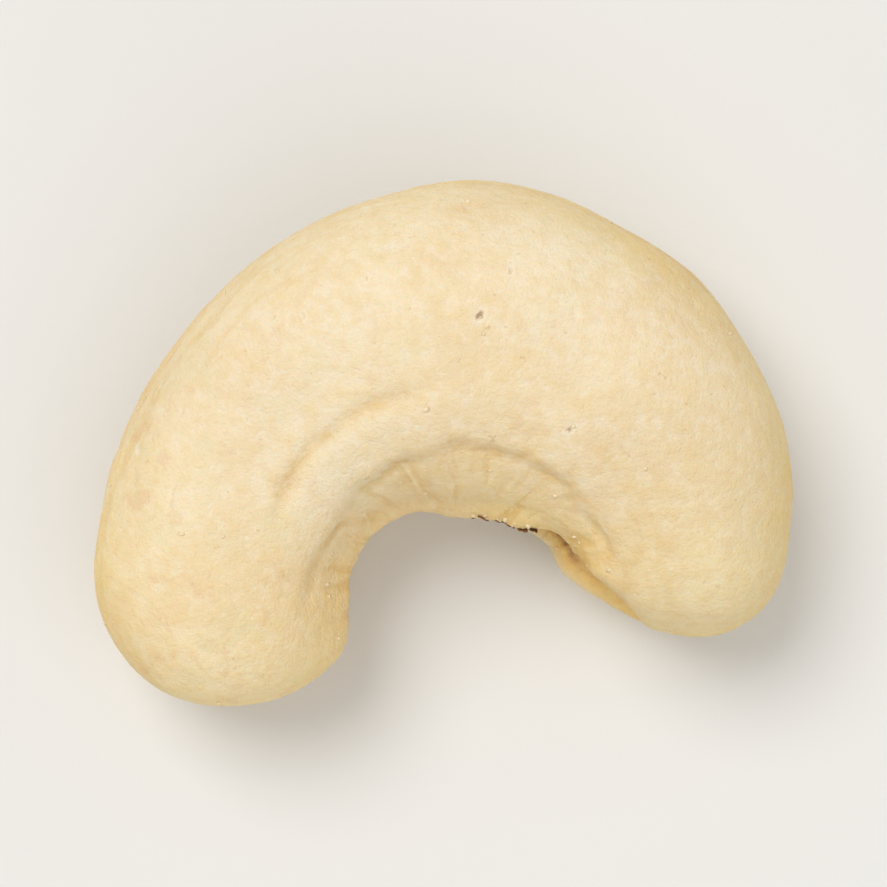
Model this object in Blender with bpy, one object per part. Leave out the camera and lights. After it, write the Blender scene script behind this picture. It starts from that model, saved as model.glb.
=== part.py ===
"""A whole shelled cashew kernel, lying on its side with the bay of its C towards -Y.

The kernel is a thick sausage bent round a point in its bay, the bend centre. Every cut across it stands
upright through that point, so a place on it is given by its angle round the bend, its distance from the
bend centre and its height over the seam, where the two halves of the seed meet. It is worked out in
millimetres round the bend centre, laid down on its three lowest places, and then written in metres.
"""

import math

import bmesh
import bpy
import numpy as np
from mathutils import Vector

MM = 0.001

# Overall size: the finished shape is scaled to this length.
LENGTH = 28.0

# Cuts across the kernel, from the tip of the short lobe, round the back, to the tip of the long lobe.
# Each gives its angle round the bend in degrees, and in millimetres the distance of its middle from the
# bend centre, its half width and its half thickness.
CUTS = (
    (-19.5, 9.10, 3.90, 4.35),
    (-8, 8.98, 4.60, 4.60),
    (4, 8.93, 4.76, 4.70),
    (28, 9.00, 5.80, 5.00),
    (52, 9.04, 6.34, 5.55),
    (78, 9.20, 6.86, 5.85),
    (102, 8.97, 6.60, 5.85),
    (126, 9.19, 6.17, 5.50),
    (148, 9.30, 5.77, 5.05),
    (172, 9.54, 5.42, 4.80),
    (188, 9.76, 5.20, 4.70),
    (202, 9.34, 4.80, 4.55),
    (218.5, 7.30, 3.40, 4.15),
)

# The rounded ends: how many degrees of the bend each one takes up.
SHORT_LOBE_ROUND = 26.0
LONG_LOBE_ROUND = 33.0

# Fullness of a cut and of a rounded end: 2 is an ellipse, and more is squarer. A cut's thickest place lies
# a little to the back.
CUT_FULLNESS = 2.25
END_FULLNESS = 2.35
BACK_LEAN = 0.05

# Seam between the halves: a fine groove along the back, and a cleft between two lips in the bay. It isn't
# quite flat, because the whole kernel is warped a little along its bend: height, waves per turn and phase.
BACK_GROOVE_DEPTH = 0.20
BACK_GROOVE_WIDTH = 0.34
CLEFT_DEPTH = 0.90
CLEFT_WIDTH = 0.55
LIP_HEIGHT = 0.22
LIP_FROM_SEAM = 1.30
LIP_WIDTH = 0.70
WARP = (0.28, 1.9, 20.0)

# A point counts as in the bay between these shares of the half width, inwards from the middle of a cut.
BAY_SIDE = (0.15, 0.85)

# Collar: a band round the bay, sunk a little below the flanks, that they meet in a soft step.
COLLAR_DISTANCE = 6.2
COLLAR_STEP_WIDTH = 0.9
COLLAR_DEPTH = 0.30
COLLAR_STRETCH = (14.0, 40.0, 128.0, 156.0)

# Furrow: a long soft groove on the flanks of the long lobe.
FURROW_DISTANCE = 8.25
FURROW_WIDTH = 0.65
FURROW_DEPTH = 0.24
FURROW_STRETCH = (88.0, 112.0, 150.0, 172.0)

# The collar and the furrow fade out between these heights over the seam.
FLANK_HEIGHTS = (1.2, 2.8)

# Ledge: on the short lobe's side of the bay, the lower half stands out past the upper one.
LEDGE_DEPTH = 0.60
LEDGE_STEP_HEIGHT = 0.60
LEDGE_TOP_HEIGHT = 3.2
LEDGE_STRETCH = (-26.0, -10.0, 20.0, 34.0)

# Broad swells of a grown thing: height, wavelength, the way it runs, and phase in degrees.
SWELLS = (
    (0.13, 15.0, (0.90, 0.30, 0.30), 40.0),
    (0.10, 9.5, (-0.35, 0.85, 0.40), 200.0),
    (0.06, 6.4, (0.55, -0.45, 0.70), 110.0),
)

# Stretches of the bend whose lowest points it rests on, each pressed flat by this depth.
REST_STRETCHES = ((-19.5, 30.0), (60.0, 120.0), (165.0, 218.5))
REST_DEPTH = 0.14
LAYING_ROUNDS = 6

# Fineness of the mesh.
ROUND_CUTS = 11
BODY_CUTS = 76
POINTS_AROUND = 60
SEAM_CROWDING = 0.36

COLOUR = (0.86, 0.70, 0.44, 1.0)
ROUGHNESS = 0.55


def rise(low, high, value):
    """0 below low and 1 above high, with a smooth climb between."""
    share = np.clip((value - low) / (high - low), 0.0, 1.0)
    return share * share * (3.0 - 2.0 * share)


def over_stretch(stretch, angle):
    """1 along a stretch of the bend, which fades in and out between its four angles."""
    fade_in, full, fade_out, gone = stretch
    return rise(fade_in, full, angle) * (1.0 - rise(fade_out, gone, angle))


def hump(centre, width, value):
    return np.exp(-(((value - centre) / width) ** 2))


def smooth_through(knots, heights, at):
    """A smooth curve through points, whose slope at each is that between its neighbours."""
    knots, heights = np.asarray(knots, float), np.asarray(heights, float)
    slopes = np.gradient(heights, knots)
    left = np.clip(np.searchsorted(knots, at, side="right") - 1, 0, len(knots) - 2)
    span = knots[left + 1] - knots[left]
    share = (at - knots[left]) / span
    held = (1 + 2 * share) * (1 - share) ** 2 * heights[left]
    reached = share**2 * (3 - 2 * share) * heights[left + 1]
    leaving = share * (1 - share) ** 2 * span * slopes[left]
    arriving = share**2 * (share - 1) * span * slopes[left + 1]
    return held + reached + leaving + arriving


def rounded(turn, fullness):
    """The point at each turn round an ellipse of width and height 1 that is as full as asked."""
    cosine, sine = np.cos(turn), np.sin(turn)
    reach = (np.abs(cosine) ** fullness + np.abs(sine) ** fullness) ** (-1 / fullness)
    return reach * cosine, reach * sine


def cut_sizes(angle):
    """Middle distance, half width and half thickness of the cuts at these angles."""
    angles, *columns = zip(*CUTS)
    return [smooth_through(angles, column, angle) for column in columns]


def cut_angles():
    """Angle of each cut, and the share of its full size that it keeps in the rounded ends."""
    short_end = CUTS[0][0] + SHORT_LOBE_ROUND
    long_end = CUTS[-1][0] - LONG_LOBE_ROUND
    body = np.linspace(short_end, long_end, BODY_CUTS + 1)
    kept, reached = rounded(np.linspace(0, math.pi / 2, ROUND_CUTS + 1)[1:], END_FULLNESS)
    short_round = (short_end - SHORT_LOBE_ROUND * reached)[::-1]
    long_round = long_end + LONG_LOBE_ROUND * reached
    angles = np.concatenate([short_round, body, long_round])
    return angles, np.concatenate([kept[::-1], np.ones(len(body)), kept])


def turns():
    """Angle of each point round a cut: 0 at the back, 180 degrees in the bay, crowded near the seam."""
    even = np.linspace(0, 2 * math.pi, POINTS_AROUND, endpoint=False)
    return even - SEAM_CROWDING * np.sin(2 * even)


def plain_surface():
    """The smooth sausage, as a grid of cuts by points: angle, distance and height. It ends in two tips."""
    angle, kept = cut_angles()
    middle, half_width, half_thickness = cut_sizes(angle)
    across, up = rounded(turns(), CUT_FULLNESS)
    across = across + BACK_LEAN * up**2
    distance = middle[:, None] + (half_width * kept)[:, None] * across
    height = (half_thickness * kept)[:, None] * up
    return np.repeat(angle[:, None], POINTS_AROUND, axis=1), distance, height


def in_space(angle, distance, height):
    angle = np.radians(angle)
    return np.stack([distance * np.cos(angle), distance * np.sin(angle), height], axis=-1)


def outward(points):
    """The way out of the surface at each point of the grid."""
    along = np.gradient(points, axis=0)
    around = np.roll(points, -1, axis=1) - np.roll(points, 1, axis=1)
    normals = np.cross(along, around)
    for tip, beside in ((0, 1), (-1, -2)):
        normals[tip] = normals[beside].sum(axis=0)
    return normals / np.linalg.norm(normals, axis=-1, keepdims=True)


def seam_relief(height, bay_side):
    """The groove along the back, which deepens to the cleft and its lips in the bay."""
    depth = BACK_GROOVE_DEPTH + (CLEFT_DEPTH - BACK_GROOVE_DEPTH) * bay_side
    width = BACK_GROOVE_WIDTH + (CLEFT_WIDTH - BACK_GROOVE_WIDTH) * bay_side
    lips = LIP_HEIGHT * bay_side * hump(LIP_FROM_SEAM, LIP_WIDTH, np.abs(height))
    return lips - depth * hump(0.0, width, height)


def flank_relief(angle, distance, height):
    """The sunk collar round the bay and the furrow of the long lobe."""
    collar = 1.0 - rise(COLLAR_DISTANCE - COLLAR_STEP_WIDTH, COLLAR_DISTANCE, distance)
    furrow = hump(FURROW_DISTANCE, FURROW_WIDTH, distance)
    sunk = COLLAR_DEPTH * collar * over_stretch(COLLAR_STRETCH, angle)
    sunk += FURROW_DEPTH * furrow * over_stretch(FURROW_STRETCH, angle)
    return -sunk * rise(*FLANK_HEIGHTS, np.abs(height))


def ledge_relief(angle, height, bay_side):
    """The upper half drawn back in the short lobe's side of the bay."""
    step = rise(0.0, LEDGE_STEP_HEIGHT, height)
    fade = 1.0 - rise(LEDGE_STEP_HEIGHT, LEDGE_TOP_HEIGHT, height)
    return -LEDGE_DEPTH * step * fade * bay_side * over_stretch(LEDGE_STRETCH, angle)


def swell_relief(points):
    total = 0.0
    for size, wavelength, way, phase in SWELLS:
        steps = points @ np.array(way) / np.linalg.norm(way) / wavelength
        total = total + size * np.sin(2 * math.pi * steps + math.radians(phase))
    return total


def shaped_surface():
    """The grid of points with the seam, collar, furrow, ledge and swells on it."""
    angle, distance, height = plain_surface()
    points = in_space(angle, distance, height)
    middle, half_width, _ = cut_sizes(angle)
    bay_side = rise(*BAY_SIDE, (middle - distance) / half_width)
    out = seam_relief(height, bay_side)
    out = out + flank_relief(angle, distance, height)
    out = out + ledge_relief(angle, height, bay_side)
    out = out + swell_relief(points)
    points = points + outward(points) * out[..., None]
    warp, waves, phase = WARP
    points[..., 2] += warp * np.sin(np.radians(waves * angle + phase))
    return angle, points


def laid_down(angle, points):
    """The kernel tipped until its three lowest places are level, then pressed flat there, at height 0."""
    for _ in range(LAYING_ROUNDS):
        feet = []
        for low, high in REST_STRETCHES:
            row = points[(angle >= low) & (angle <= high)]
            feet.append(Vector(row[row[:, 2].argmin()]))
        up = (feet[1] - feet[0]).cross(feet[2] - feet[0])
        up = up if up.z > 0 else -up
        tip = np.array(up.rotation_difference(Vector((0, 0, 1))).to_matrix())
        points = points @ tip.T
    low, high = points.min(axis=(0, 1)), points.max(axis=(0, 1))
    foot = np.array([*(low + high)[:2] / 2, low[2] + REST_DEPTH])
    points = (points - foot) * (LENGTH / (high - low)[0])
    points[..., 2] = np.maximum(points[..., 2], 0.0)
    return points


def closed_mesh(name, rows):
    """A mesh of the grid, whose first and last rows are each one point."""
    built = bmesh.new()
    first_tip = built.verts.new(rows[0][0])
    rings = [[built.verts.new(point) for point in row] for row in rows[1:-1]]
    last_tip = built.verts.new(rows[-1][0])
    for lower, upper in zip(rings, rings[1:]):
        for here in range(len(lower)):
            there = (here + 1) % len(lower)
            built.faces.new((lower[here], upper[here], upper[there], lower[there]))
    for ring, tip, order in ((rings[0], first_tip, 1), (rings[-1], last_tip, -1)):
        for here in range(len(ring)):
            pair = (ring[here], ring[(here + 1) % len(ring)])[::order]
            built.faces.new((tip, *pair))
    for face in built.faces:
        face.smooth = True
    mesh = bpy.data.meshes.new(name)
    built.to_mesh(mesh)
    built.free()
    return mesh


def cream_material():
    material = bpy.data.materials.new("cashew_cream")
    material.use_nodes = True
    shader = material.node_tree.nodes["Principled BSDF"]
    shader.inputs["Base Color"].default_value = COLOUR
    shader.inputs["Roughness"].default_value = ROUGHNESS
    shader.inputs["Metallic"].default_value = 0.0
    return material


def cashew_kernel():
    angle, points = shaped_surface()
    mesh = closed_mesh("cashew_kernel", laid_down(angle, points) * MM)
    mesh.materials.append(cream_material())
    kernel = bpy.data.objects.new("cashew_kernel", mesh)
    bpy.context.scene.collection.objects.link(kernel)
    return kernel


def clear_scene():
    for thing in list(bpy.data.objects):
        bpy.data.objects.remove(thing)


clear_scene()
cashew_kernel()
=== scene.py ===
import math

import bpy
import numpy as np
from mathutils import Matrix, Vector


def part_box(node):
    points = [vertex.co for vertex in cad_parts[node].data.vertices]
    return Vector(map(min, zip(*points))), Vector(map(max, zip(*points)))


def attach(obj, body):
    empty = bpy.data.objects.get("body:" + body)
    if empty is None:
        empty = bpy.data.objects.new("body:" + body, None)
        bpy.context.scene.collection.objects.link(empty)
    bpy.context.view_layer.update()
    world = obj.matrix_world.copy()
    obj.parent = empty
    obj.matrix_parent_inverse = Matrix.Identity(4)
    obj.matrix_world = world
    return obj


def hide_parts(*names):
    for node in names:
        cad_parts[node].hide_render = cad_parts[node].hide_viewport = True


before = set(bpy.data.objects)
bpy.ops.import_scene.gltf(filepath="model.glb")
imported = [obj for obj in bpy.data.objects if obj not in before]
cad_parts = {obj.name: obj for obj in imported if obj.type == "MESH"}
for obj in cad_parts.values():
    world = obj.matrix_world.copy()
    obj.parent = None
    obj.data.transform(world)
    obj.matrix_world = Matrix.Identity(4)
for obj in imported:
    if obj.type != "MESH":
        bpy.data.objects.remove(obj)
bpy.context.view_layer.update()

NODE = "cashew_kernel"
BODY = "root"
MM = 0.001

# The kernel is a thick sausage bent round a point in its bay, the bend centre. A place on it is given by its
# angle round the bend in degrees, its distance from the bend centre and its height over the seam, both in
# millimetres. Each cut gives its angle, the distance of its middle, its half width and its half thickness.
CUTS = (
    (-19.5, 9.10, 3.90, 4.35),
    (-8, 8.98, 4.60, 4.60),
    (4, 8.93, 4.76, 4.70),
    (28, 9.00, 5.80, 5.00),
    (52, 9.04, 6.34, 5.55),
    (78, 9.20, 6.86, 5.85),
    (102, 8.97, 6.60, 5.85),
    (126, 9.19, 6.17, 5.50),
    (148, 9.30, 5.77, 5.05),
    (172, 9.54, 5.42, 4.80),
    (188, 9.76, 5.20, 4.70),
    (202, 9.34, 4.80, 4.55),
    (218.5, 7.30, 3.40, 4.15),
)

# How many degrees of the bend the rounding of each end takes up, how full it is, and the number of cuts.
SHORT_LOBE_ROUND = 26.0
LONG_LOBE_ROUND = 33.0
END_FULLNESS = 2.35
ROUND_CUTS = 36
BODY_CUTS = 326
MERGE_DISTANCE = 1e-4

# Stretches of the bend whose lowest points it lies on, and how deep they are pressed flat.
REST_STRETCHES = ((-19.5, 30.0), (60.0, 120.0), (165.0, 218.5))
REST_DEPTH = 0.14
LAYING_ROUNDS = 6

# Sizes of the skin, as inputs of its tree.
SKIN = {
    "Points round a cut": 240,
    "Seam crowding": 0.30,
    "Cut fullness": 2.25,
    "Back lean": 0.05,
    "Back groove depth": 0.15,
    "Back groove width": 0.16,
    "Cleft depth": 1.0,
    "Cleft width": 0.42,
    "Lip height": 0.22,
    "Seam wander": 0.20,
    "Half offset": 0.10,
    "Collar depth": 0.30,
    "Collar crease depth": 0.12,
    "Furrow depth": 0.20,
    "Band height": 0.08,
    "Ledge depth": 0.95,
    "Ledge depth more at the lobe": 0.95,
    "Ledge lip height": 0.12,
    "Warp": 0.28,
    "Dent depth": 0.13,
    "Dimple height": 0.045,
    "Pleat depth": 0.07,
    "Crease depth": 0.05,
    "Streak height": 0.026,
    "Grain height": 0.018,
    "Striae height": 0.006,
    "Torn edge height": 0.13,
    "Pit depth": 0.12,
    "Scuff depth": 0.04,
    "Radicle hole depth": 0.7,
    "Crack depth": 0.32,
}

# Where the forms lie. A stretch is four angles that a form fades in and out between. A rise or a fade is the
# two values that something grows or dies away between. A noise is its waves in a millimetre, its detail and,
# where they aren't the usual ones, its roughness and distortion.
BAY_SIDE_RISE = (0.15, 0.85)

# The seam. The noise along it has its waves for each degree, how unlike the back and the bay are, and a layer
# that sets it apart from the others.
SEAM_SWING = (0.11, 3.0, 0.0)
GROOVE_GAPS = (0.10, 2.0, 7.0)
GROOVE_RISE = (-0.45, 0.35)
CLEFT_UNEVENNESS = 0.3
LIP_FROM_SEAM = 1.30
LIP_WIDTH = 0.70
HALF_OFFSET_WAVES = (0.035, 1.5, 3.0)
HALF_STEP_RISE = (-0.15, 0.15)
HALF_STEP_REACH = 1.6

# The flanks, on both sides of the seam. Noise on them has its waves for each degree and a layer.
FLANK_HEIGHTS_RISE = (1.2, 2.8)
FLANK_WANDER_WAVES = (0.06, 5.0)
FLANK_WANDER = 0.45
FLANKS_APART = 4.0
LEAN = 0.55

# The collar is sunk inside this distance, and spreads by a further one between two angles towards each lobe.
COLLAR_DISTANCE = 5.55
COLLAR_SPREAD = ((34.0, 4.0, 0.95), (152.0, 200.0, 1.5))
COLLAR_STRETCH = (-4.0, 24.0, 158.0, 202.0)
COLLAR_STEP_WIDTH = 0.5
COLLAR_SOFTNESS = 0.45
COLLAR_CRISPNESS = 0.35
COLLAR_MARK_WAVES = (0.045, 11.0)
COLLAR_MARK_RISE = (-0.35, 0.25)
COLLAR_FADE = (-2.0, 0.5)
COLLAR_CREASE_WIDTH = 0.20
COLLAR_CREASE_LEAST = 0.15
# Painted shade on the collar step's outer slope, in the colour only: its middle, width and share.
COLLAR_SLOPE_SHADE = (-0.15, 0.5)
COLLAR_SLOPE_SHADE_SHARE = 0.45

# The long lobe's furrow, and the raised band between it and the collar.
FURROW_DISTANCE = 7.9
FURROW_WIDTH = 0.27
FURROW_STRETCH = (92.0, 112.0, 152.0, 168.0)
BAND_DISTANCE = 6.95
BAND_WIDTH = 0.85
BAND_STRETCH = (50.0, 115.0, 150.0, 190.0)

# The ledge in the short lobe's side of the bay: the height of its step and of its top over the seam, how much
# higher the top is at the lobe, and the place and width of the lower half's lip.
LEDGE_STEP_HEIGHT = 0.40
LEDGE_TOP_HEIGHT = 3.2
LEDGE_TOP_RISE = 1.1
LEDGE_STRETCH = (-44.0, -18.0, 16.0, 40.0)
LOBE_STRETCH = (-36.0, -18.0, -8.0, 8.0)
LEDGE_LIP = (-0.9, 0.7)

# The crack in the bottom of the cleft, narrower and lower at the ledge. How open it is varies along the bend.
CRACK_WIDTH = 0.19
CRACK_BELOW_SEAM = 0.08
CRACK_NOISE = (1.3, 4.0, 0.6)
CRACK_RAGGEDNESS = 0.14
CRACK_NARROWER_AT_LEDGE = 0.62
CRACK_LOWER_AT_LEDGE = 0.22
CRACK_GAPS = (0.09, 4.0, 9.0)
CRACK_GAP_RISE = (-0.45, 0.05)
CRACK_OPEN = (0.42, 0.92)
CRACK_ANGLE_RISE = (-26.0, 10.0)
CRACK_BAY_RISE = (0.3, 0.8)

# Broad swells: height, wavelength, the way it runs, and phase in degrees. The warp lifts and sinks the kernel
# along its bend, with its waves for a full turn and its phase in degrees.
SWELLS = (
    (0.13, 15.0, (0.90, 0.30, 0.30), 40.0),
    (0.10, 9.5, (-0.35, 0.85, 0.40), 200.0),
    (0.06, 6.4, (0.55, -0.45, 0.70), 110.0),
)
WARP_WAVES = (1.9, 20.0)
BROAD_DENT_NOISE = (0.15, 1.0)
BROAD_DENT_RISE = (0.0, 0.75)
SMALL_DENT_NOISE = (0.34, 1.0)
SMALL_DENT_SHARE = 0.25

# Texture that follows the bend: its waves for each degree along it and for each millimetre across it. Below
# them are where it lies and how thin its lines are.
PLEATS = (0.10, 0.14)
PLEAT_BENDS = (0.05, 0.3)
PLEAT_PATCHES = (0.05, 0.2)
WRINKLES = (0.022, 0.42)
STREAKS = (0.035, 2.2)
STREAK_PATCHES = (0.03, 0.2)
RADICLE_RAGGEDNESS = (0.2, 1.5)
PLEAT_REACH_FADE = (4.6, 6.8)
PLEAT_BEND = 9.0
PLEAT_PATCH_SCALE = 1.3
PLEAT_PATCH_RISE = (-0.30, 0.38)
PLEAT_LINE = 0.13
PLEAT_FOLD_SCALE = 1.7
PLEAT_FOLD_SHARE = 0.5
WRINKLE_PATCH_SCALE = 0.5
WRINKLE_PATCH_RISE = (-0.15, 0.45)
WRINKLE_LINE = 0.06
STREAK_PATCH_RISE = (-0.3, 0.5)
STREAK_LEAST = 0.2

# A patch of nearly straight lines on the upper flank: its angle and distance, its spread in each, how far
# apart the lines lie, and what bends them.
STRIAE = (68.0, 11.75)
STRIAE_SPREAD = (8.0, 1.7)
STRIAE_WAVE = 0.46
STRIAE_NOISE = (0.7, 3.0)
STRIAE_BEND = 4.0
STRIAE_HEIGHT_RISE = (1.5, 3.0)

# Dimples, grain and scuffs, and the torn edges of the cleft: their height over the seam and their width.
DIMPLE_NOISE = (0.6, 2.0)
GRAIN_NOISE = (2.4, 2.0, 0.6)
SCUFF_NOISE = (0.33, 4.0, 0.6)
SCUFF_RISE = (0.34, 0.42)
TORN_NOISE = (2.0, 3.0, 0.65)
TORN_EDGE = (0.25, 0.9)
TORN_EDGE_LEAST = 0.15

# The germ's hole at the tip of the long lobe: its angle, distance and radius.
RADICLE = (212.0, 6.1, 0.42)
RADICLE_UNEVENNESS = 0.9
RADICLE_TALLER = 1.2

# Small pits on the upper flank: angle, distance, radius and how marked each is. All are longer outwards and
# slanted.
PITS = (
    (86.9, 11.20, 0.14, 1.0),
    (82.1, 13.12, 0.11, 0.45),
    (57.1, 7.74, 0.13, 0.60),
    (107.5, 13.23, 0.10, 0.40),
    (120.4, 12.82, 0.12, 0.35),
    (131.2, 11.82, 0.10, 0.30),
    (142.5, 11.18, 0.10, 0.35),
)
PIT_LONGER = 1.4
PIT_SLANT = 0.55
PIT_HEIGHT_RISE = (1.0, 2.0)

# Pits strewn over the whole skin: cells in a millimetre, a pit's width in its cell, and which cells have one.
STREWN_PIT_CELLS = 0.42
STREWN_PIT_WIDTH = 0.055
STREWN_PIT_CHOSEN = (0.72, 0.78)

# Scraps of brown skin at the rim of the cleft, and crumbs of the kernel's flesh, as inputs of their trees.
SCRAPS = {
    "Number in a square millimetre": 10.0,
    "Smallest": 0.45,
    "Largest": 1.30,
    "Tilt": 0.75,
    "Raggedness": 0.40,
    "Waves in a millimetre": 3.2,
    "Seed": 11,
}
CRUMBS = {
    "Number in a square millimetre": 0.35,
    "Smallest": 0.25,
    "Largest": 1.15,
    "Tilt": 0.5,
    "Raggedness": 0.13,
    "Waves in a millimetre": 14.0,
    "Seed": 4,
}

# Half sizes of a scrap and of a crumb, and how often their balls are divided.
SCRAP_SHAPE = (0.34, 0.19, 0.020)
CRUMB_SHAPE = (0.16, 0.10, 0.05)
SCRAP_DIVISIONS = 3
CRUMB_DIVISIONS = 1

# Where they lie: along which stretch of the bend, and at which height from the seam, as a middle and a width.
SCRAP_STRETCH = (26.0, 36.0, 70.0, 82.0)
SCRAP_LEAST = 0.03
SCRAP_RIM = (0.95, 0.32)
SCRAP_BAY_RISE = (0.90, 0.98)
CRUST_RIM = (1.25, 0.40)
CRUST = 36.0
CRUMB_FACING_RISE = (0.0, 0.35)
CRUMB_LEAST = 0.25


class Wire:
    """A socket of a node tree. Arithmetic on it adds Math nodes, and node() adds any other node."""

    def __init__(self, tree, socket):
        self.tree, self.socket = tree, socket

    def node(self, kind, settings=(), sockets=(), out=0):
        """A new node with its settings, then its sockets by name or place, as values or wires."""
        made = self.tree.nodes.new(kind)
        for name, value in dict(settings).items():
            setattr(made, name, value)
        for key, value in sockets.items() if isinstance(sockets, dict) else enumerate(sockets):
            if isinstance(value, Wire):
                self.tree.links.new(value.socket, made.inputs[key])
            else:
                made.inputs[key].default_value = value
        return Wire(self.tree, made.outputs[out])

    def of(self, name):
        """Another output of the same node."""
        return Wire(self.tree, self.socket.node.outputs[name])

    def maths(self, operation, *values):
        return self.node("ShaderNodeMath", {"operation": operation}, values)

    def __add__(self, other):
        return self.maths("ADD", self, other)

    def __sub__(self, other):
        return self.maths("SUBTRACT", self, other)

    def __rsub__(self, other):
        return self.maths("SUBTRACT", other, self)

    def __mul__(self, other):
        return self.maths("MULTIPLY", self, other)

    def __truediv__(self, other):
        return self.maths("DIVIDE", self, other)

    def __rtruediv__(self, other):
        return self.maths("DIVIDE", other, self)

    def __pow__(self, other):
        return self.maths("POWER", self, other)

    def __neg__(self):
        return self.maths("MULTIPLY", self, -1.0)

    def __abs__(self):
        return self.maths("ABSOLUTE", self)


# Short words for the maths that the trees share

def sine(value):
    return value.maths("SINE", value)


def cosine(value):
    return value.maths("COSINE", value)


def climb(value, low, high):
    """0 below low and 1 above high, with a smooth climb between."""
    smooth = {"interpolation_type": "SMOOTHSTEP"}
    return value.node("ShaderNodeMapRange", smooth, (value, low, high, 0.0, 1.0))


def hump(value, centre, width):
    """1 at the centre, falling smoothly to 0 over about twice the width."""
    off = (value - centre) / width
    return off.maths("EXPONENT", -(off * off))


def over_stretch(angle, stretch):
    """1 along a stretch of the bend, which fades in and out between its four angles."""
    fade_in, full, fade_out, gone = stretch
    return climb(angle, fade_in, full) * (1.0 - climb(angle, fade_out, gone))


def between(share, least, most=1.0):
    """A share of 0 to 1 turned to one between its least and its most."""
    return share * (most - least) + least


def place(x, y, z):
    """A vector of three values, at least one of them a wire."""
    wire = next(value for value in (x, y, z) if isinstance(value, Wire))
    return wire.node("ShaderNodeCombineXYZ", (), (x, y, z))


def noise(at, scale, detail=2.0, roughness=0.5, distortion=0.0):
    """Smooth noise between about -1 and 1."""
    sizes = {"Scale": scale, "Detail": detail, "Roughness": roughness, "Distortion": distortion}
    return at.node("ShaderNodeTexNoise", (), {"Vector": at, **sizes}) * 2.0 - 1.0


def seam_noise(angle, side, waves, **finer):
    """Noise that runs along the seam, one way along the back and another way in the bay."""
    pace, unlike, layer = waves
    return noise(place(angle * pace, side * unlike, layer), 1.0, **finer)


def flank_noise(angle, height, waves, **finer):
    """Noise that runs along the bend, and runs another way on the upper flank than on the lower."""
    pace, layer = waves
    return noise(place(angle * pace, layer, climb(height, -1.0, 1.0) * FLANKS_APART), 1.0, **finer)


def along_bend(angle, distance, height, waves):
    """A place for texture that follows the bend, with its waves along and across it."""
    along, across = waves
    return place(angle * along, distance * across, height * across)


# Geometry trees

def new_tree(name, sizes):
    """The start of a geometry tree with these named inputs: a wire of the geometry that comes in."""
    tree = bpy.data.node_groups.new(name, "GeometryNodeTree")
    face = tree.interface
    face.new_socket("Geometry", in_out="INPUT", socket_type="NodeSocketGeometry")
    for size, value in sizes.items():
        kind = "NodeSocketInt" if isinstance(value, int) else "NodeSocketFloat"
        face.new_socket(size, in_out="INPUT", socket_type=kind)
    face.new_socket("Geometry", in_out="OUTPUT", socket_type="NodeSocketGeometry")
    return Wire(tree, tree.nodes.new("NodeGroupInput").outputs["Geometry"])


def end_tree(geometry, material):
    """Ends a tree in plain, smooth faces with this material."""
    smooth = geometry.node("GeometryNodeSetShadeSmooth", (), {"Geometry": geometry})
    plain = smooth.node("GeometryNodeRealizeInstances", (), {"Geometry": smooth})
    painted = plain.node("GeometryNodeSetMaterial", (), {"Geometry": plain, "Material": material})
    end = geometry.tree.nodes.new("NodeGroupOutput")
    geometry.tree.links.new(painted.socket, end.inputs["Geometry"])
    return geometry.tree


def grown(name, start, tree, sizes):
    """The object that a geometry tree makes of a start mesh, with its result turned to a plain mesh."""
    thing = bpy.data.objects.new(name, start)
    bpy.context.scene.collection.objects.link(thing)
    modifier = thing.modifiers.new(name, "NODES")
    modifier.node_group = tree
    for socket in tree.interface.items_tree:
        if socket.in_out == "INPUT" and socket.name in sizes:
            modifier[socket.identifier] = sizes[socket.name]
    graph = bpy.context.evaluated_depsgraph_get()
    solved = thing.evaluated_get(graph)
    mesh = bpy.data.meshes.new_from_object(solved, preserve_all_data_layers=True, depsgraph=graph)
    thing.modifiers.remove(modifier)
    thing.data = mesh
    return thing


def named(wire, name):
    """A value that is kept on the points by this name."""
    return wire.node("GeometryNodeInputNamedAttribute", {"data_type": "FLOAT"}, {"Name": name})


def store(geometry, **values):
    """The geometry with these values kept on its points, by name."""
    for name, value in values.items():
        sockets = {"Geometry": geometry, "Name": name, "Value": value}
        geometry = geometry.node("GeometryNodeStoreNamedAttribute", {"data_type": "FLOAT"}, sockets)
    return geometry


def moved(geometry, offset):
    return geometry.node("GeometryNodeSetPosition", (), {"Geometry": geometry, "Offset": offset})


def scaled(vector, scale):
    return vector.node("ShaderNodeVectorMath", {"operation": "SCALE"}, {"Vector": vector, "Scale": scale})


def pushed_out(geometry, height):
    """The surface moved along its own normals by this height."""
    return moved(geometry, scaled(geometry.node("GeometryNodeInputNormal"), height))


# The rail: one point for each cut, with the cut's sizes on it

def smooth_through(knots, heights, at):
    """A smooth curve through points, whose slope at each is that between its neighbours."""
    knots, heights = np.asarray(knots, float), np.asarray(heights, float)
    slopes = np.gradient(heights, knots)
    left = np.clip(np.searchsorted(knots, at, side="right") - 1, 0, len(knots) - 2)
    span = knots[left + 1] - knots[left]
    share = (at - knots[left]) / span
    held = (1 + 2 * share) * (1 - share) ** 2 * heights[left]
    reached = share**2 * (3 - 2 * share) * heights[left + 1]
    leaving = share * (1 - share) ** 2 * span * slopes[left]
    arriving = share**2 * (share - 1) * span * slopes[left + 1]
    return held + reached + leaving + arriving


def rounded_end():
    """How much of its size each cut of a rounded end keeps, and how far along the end it lies."""
    turn = np.linspace(0, math.pi / 2, ROUND_CUTS + 1)[1:]
    reach = (np.cos(turn) ** END_FULLNESS + np.sin(turn) ** END_FULLNESS) ** (-1 / END_FULLNESS)
    return reach * np.cos(turn), reach * np.sin(turn)


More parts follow.
